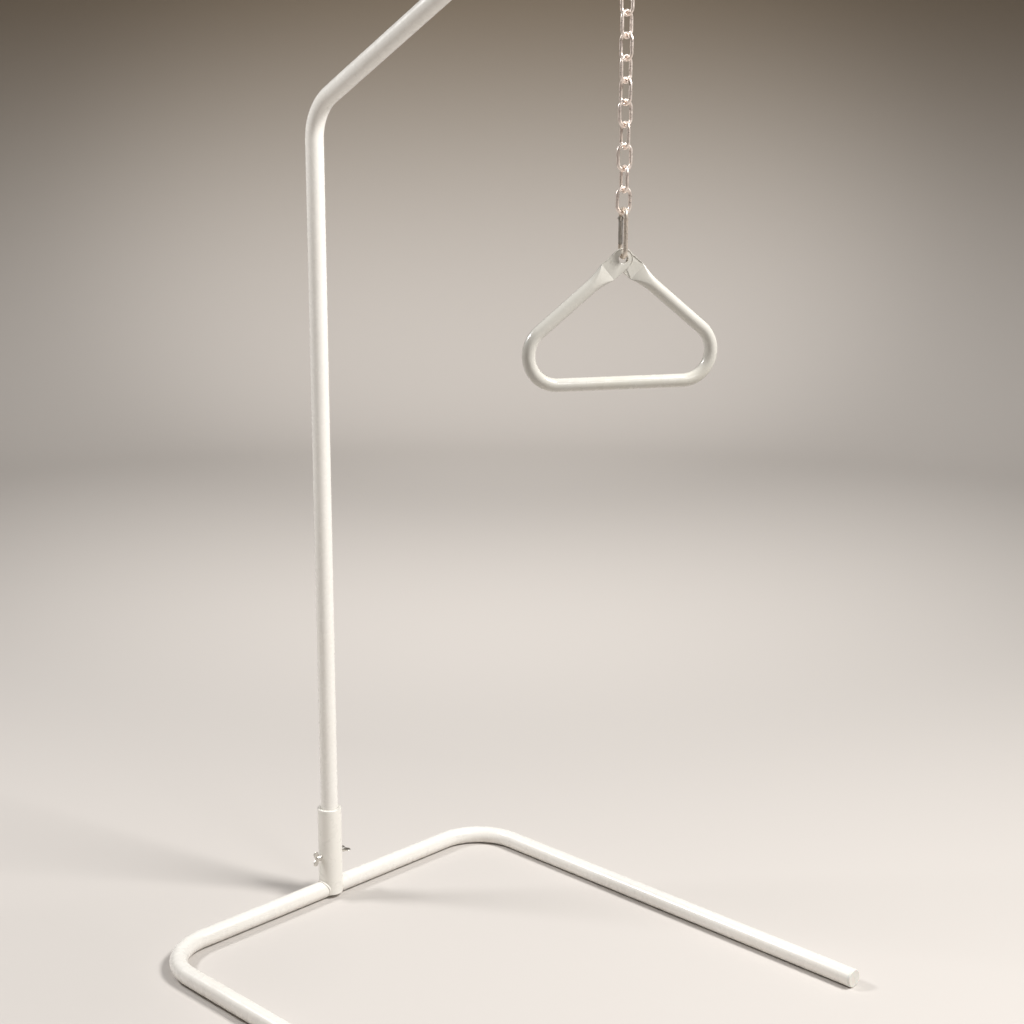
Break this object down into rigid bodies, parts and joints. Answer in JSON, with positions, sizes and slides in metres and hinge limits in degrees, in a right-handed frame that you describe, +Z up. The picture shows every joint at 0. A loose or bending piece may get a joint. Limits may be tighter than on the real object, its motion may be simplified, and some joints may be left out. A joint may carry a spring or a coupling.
{
  "type": "sit to stand lift",
  "caption": "Free-standing lifting pole: U-shaped tube floor frame, mast with an oblique arm, and a triangular grip handle hung on a chain",
  "frame": {"origin": "on the floor under the mast axis, at the middle of the crossbar", "axes": "+X along the legs and the arm, +Y along the crossbar, +Z up"},
  "size_m": [0.9222, 0.812, 1.7984],
  "materials": {
    "base_coat": "glossy white powder coat, light floor scuffs near the corners",
    "mast_coat": "glossy white powder coat",
    "socket_coat": "glossy white powder coat over a thick-walled tube and weld beads",
    "handle_coat": "glossy off-white powder coat",
    "cap_plastic": "white moulded polyethylene",
    "pad_plastic": "natural nylon",
    "screw_zinc": "bright zinc plated",
    "fitting_zinc": "bright zinc plated",
    "chain_steel": "bright nickel plated steel wire",
    "hook_steel": "bright zinc plated steel wire",
    "gate_steel": "zinc plated pressed sheet"
  },
  "bodies": {
    "stand": {"base_frame": "base_coat", "leg_cap_left": "cap_plastic", "leg_cap_right": "cap_plastic", "mast_socket": "socket_coat", "socket_weld_left": "socket_coat", "socket_weld_right": "socket_coat"},
    "pad_left": {"clamp_pad_left": "pad_plastic"},
    "pad_right": {"clamp_pad_right": "pad_plastic"},
    "screw_left": {"wing_screw_left": "screw_zinc"},
    "screw_right": {"wing_screw_right": "screw_zinc"},
    "mast": {"mast_tube": "mast_coat", "mast_foot_plug": "cap_plastic", "arm_end_plug": "cap_plastic", "eye_bolt": "fitting_zinc", "arm_saddle_lower": "fitting_zinc", "arm_saddle_upper": "fitting_zinc", "eye_bolt_nut": "fitting_zinc"},
    "upper_hook": {"top_hook": "hook_steel", "top_hook_pin": "gate_steel"},
    "upper_gate": {"top_hook_gate": "gate_steel"},
    "bottom_hook": {"lower_hook": "hook_steel", "lower_hook_pin": "gate_steel"},
    "bottom_gate": {"lower_hook_gate": "gate_steel"},
    "grip": {"handle": "handle_coat"},
    "link_01": {"chain_link_01": "chain_steel"},
    "link_02": {"chain_link_02": "chain_steel"},
    "link_03": {"chain_link_03": "chain_steel"},
    "link_04": {"chain_link_04": "chain_steel"},
    "link_05": {"chain_link_05": "chain_steel"},
    "link_06": {"chain_link_06": "chain_steel"},
    "link_07": {"chain_link_07": "chain_steel"},
    "link_08": {"chain_link_08": "chain_steel"},
    "link_09": {"chain_link_09": "chain_steel"},
    "link_10": {"chain_link_10": "chain_steel"},
    "link_11": {"chain_link_11": "chain_steel"},
    "link_12": {"chain_link_12": "chain_steel"}
  },
  "joints": [
    {"name": "mast_swivel", "type": "hinge", "parent": "stand", "child": "mast", "pos_m": [0, 0, 0.032], "axis": [0, 0, 1], "continuous": true},
    {"name": "pad_left_slide", "type": "slide", "parent": "stand", "child": "pad_left", "axis": [0, -1, 0], "range_m": [0, 0.0025]},
    {"name": "screw_left_turn", "type": "hinge", "parent": "pad_left", "child": "screw_left", "pos_m": [0, -0.03, 0.082], "axis": [0, -1, 0], "range_deg": [0, 720]},
    {"name": "pad_right_slide", "type": "slide", "parent": "stand", "child": "pad_right", "axis": [0, 1, 0], "range_m": [0, 0.0025]},
    {"name": "screw_right_turn", "type": "hinge", "parent": "pad_right", "child": "screw_right", "pos_m": [0, 0.03, 0.082], "axis": [0, 1, 0], "range_deg": [0, 720]},
    {"name": "upper_hook_swing", "type": "hinge", "parent": "mast", "child": "upper_hook", "pos_m": [0.692, 0, 1.72017], "axis": [1, 0, 0], "range_deg": [-50, 50]},
    {"name": "upper_gate_open", "type": "hinge", "parent": "upper_hook", "child": "upper_gate", "pos_m": [0.692, 0.01, 1.71362], "axis": [-1, 0, 0], "range_deg": [0, 21.5], "stiffness_Nm_per_rad": 0.05, "springref_deg": -17.19},
    {"name": "link_01_swing", "type": "hinge", "parent": "upper_hook", "child": "link_01", "pos_m": [0.692, 0, 1.65872], "axis": [0, 1, 0], "range_deg": [-35, 35]},
    {"name": "link_02_swing", "type": "hinge", "parent": "link_01", "child": "link_02", "pos_m": [0.692, 0, 1.62897], "axis": [-1, 0, 0], "range_deg": [-35, 35]},
    {"name": "link_03_swing", "type": "hinge", "parent": "link_02", "child": "link_03", "pos_m": [0.692, 0, 1.59847], "axis": [0, -1, 0], "range_deg": [-35, 35]},
    {"name": "link_04_swing", "type": "hinge", "parent": "link_03", "child": "link_04", "pos_m": [0.692, 0, 1.56797], "axis": [1, 0, 0], "range_deg": [-35, 35]},
    {"name": "link_05_swing", "type": "hinge", "parent": "link_04", "child": "link_05", "pos_m": [0.692, 0, 1.53747], "axis": [0, 1, 0], "range_deg": [-35, 35]},
    {"name": "link_06_swing", "type": "hinge", "parent": "link_05", "child": "link_06", "pos_m": [0.692, 0, 1.50697], "axis": [-1, 0, 0], "range_deg": [-35, 35]},
    {"name": "link_07_swing", "type": "hinge", "parent": "link_06", "child": "link_07", "pos_m": [0.692, 0, 1.47647], "axis": [0, -1, 0], "range_deg": [-35, 35]},
    {"name": "link_08_swing", "type": "hinge", "parent": "link_07", "child": "link_08", "pos_m": [0.692, 0, 1.44597], "axis": [0.9945, -0.1045, 0], "range_deg": [-35, 35]},
    {"name": "link_09_swing", "type": "hinge", "parent": "link_08", "child": "link_09", "pos_m": [0.692, 0, 1.41547], "axis": [0.2079, 0.9781, 0], "range_deg": [-35, 35]},
    {"name": "link_10_swing", "type": "hinge", "parent": "link_09", "child": "link_10", "pos_m": [0.692, 0, 1.38497], "axis": [-0.9511, 0.309, 0], "range_deg": [-35, 35]},
    {"name": "link_11_swing", "type": "hinge", "parent": "link_10", "child": "link_11", "pos_m": [0.692, 0, 1.35447], "axis": [-0.4067, -0.9135, 0], "range_deg": [-35, 35]},
    {"name": "link_12_swing", "type": "hinge", "parent": "link_11", "child": "link_12", "pos_m": [0.692, 0, 1.32397], "axis": [0.9135, -0.4067, 0], "range_deg": [-35, 35]},
    {"name": "bottom_hook_swing", "type": "hinge", "parent": "link_12", "child": "bottom_hook", "pos_m": [0.692, 0, 1.29347], "axis": [0.4067, 0.9135, 0], "range_deg": [-45, 45]},
    {"name": "bottom_gate_open", "type": "hinge", "parent": "bottom_hook", "child": "bottom_gate", "pos_m": [0.68309, 0.00454, 1.28592], "axis": [-0.454, -0.891, 0], "range_deg": [0, 21.5], "stiffness_Nm_per_rad": 0.05, "springref_deg": -17.19},
    {"name": "grip_swing", "type": "hinge", "parent": "bottom_hook", "child": "grip", "pos_m": [0.692, 0, 1.23102], "axis": [-0.891, 0.454, 0], "range_deg": [-50, 50]}
  ],
  "couplings": [
    {"joint": "screw_left_turn", "follows": "pad_left_slide", "rad_per_m": 5026.5},
    {"joint": "screw_right_turn", "follows": "pad_right_slide", "rad_per_m": 5026.5}
  ]
}
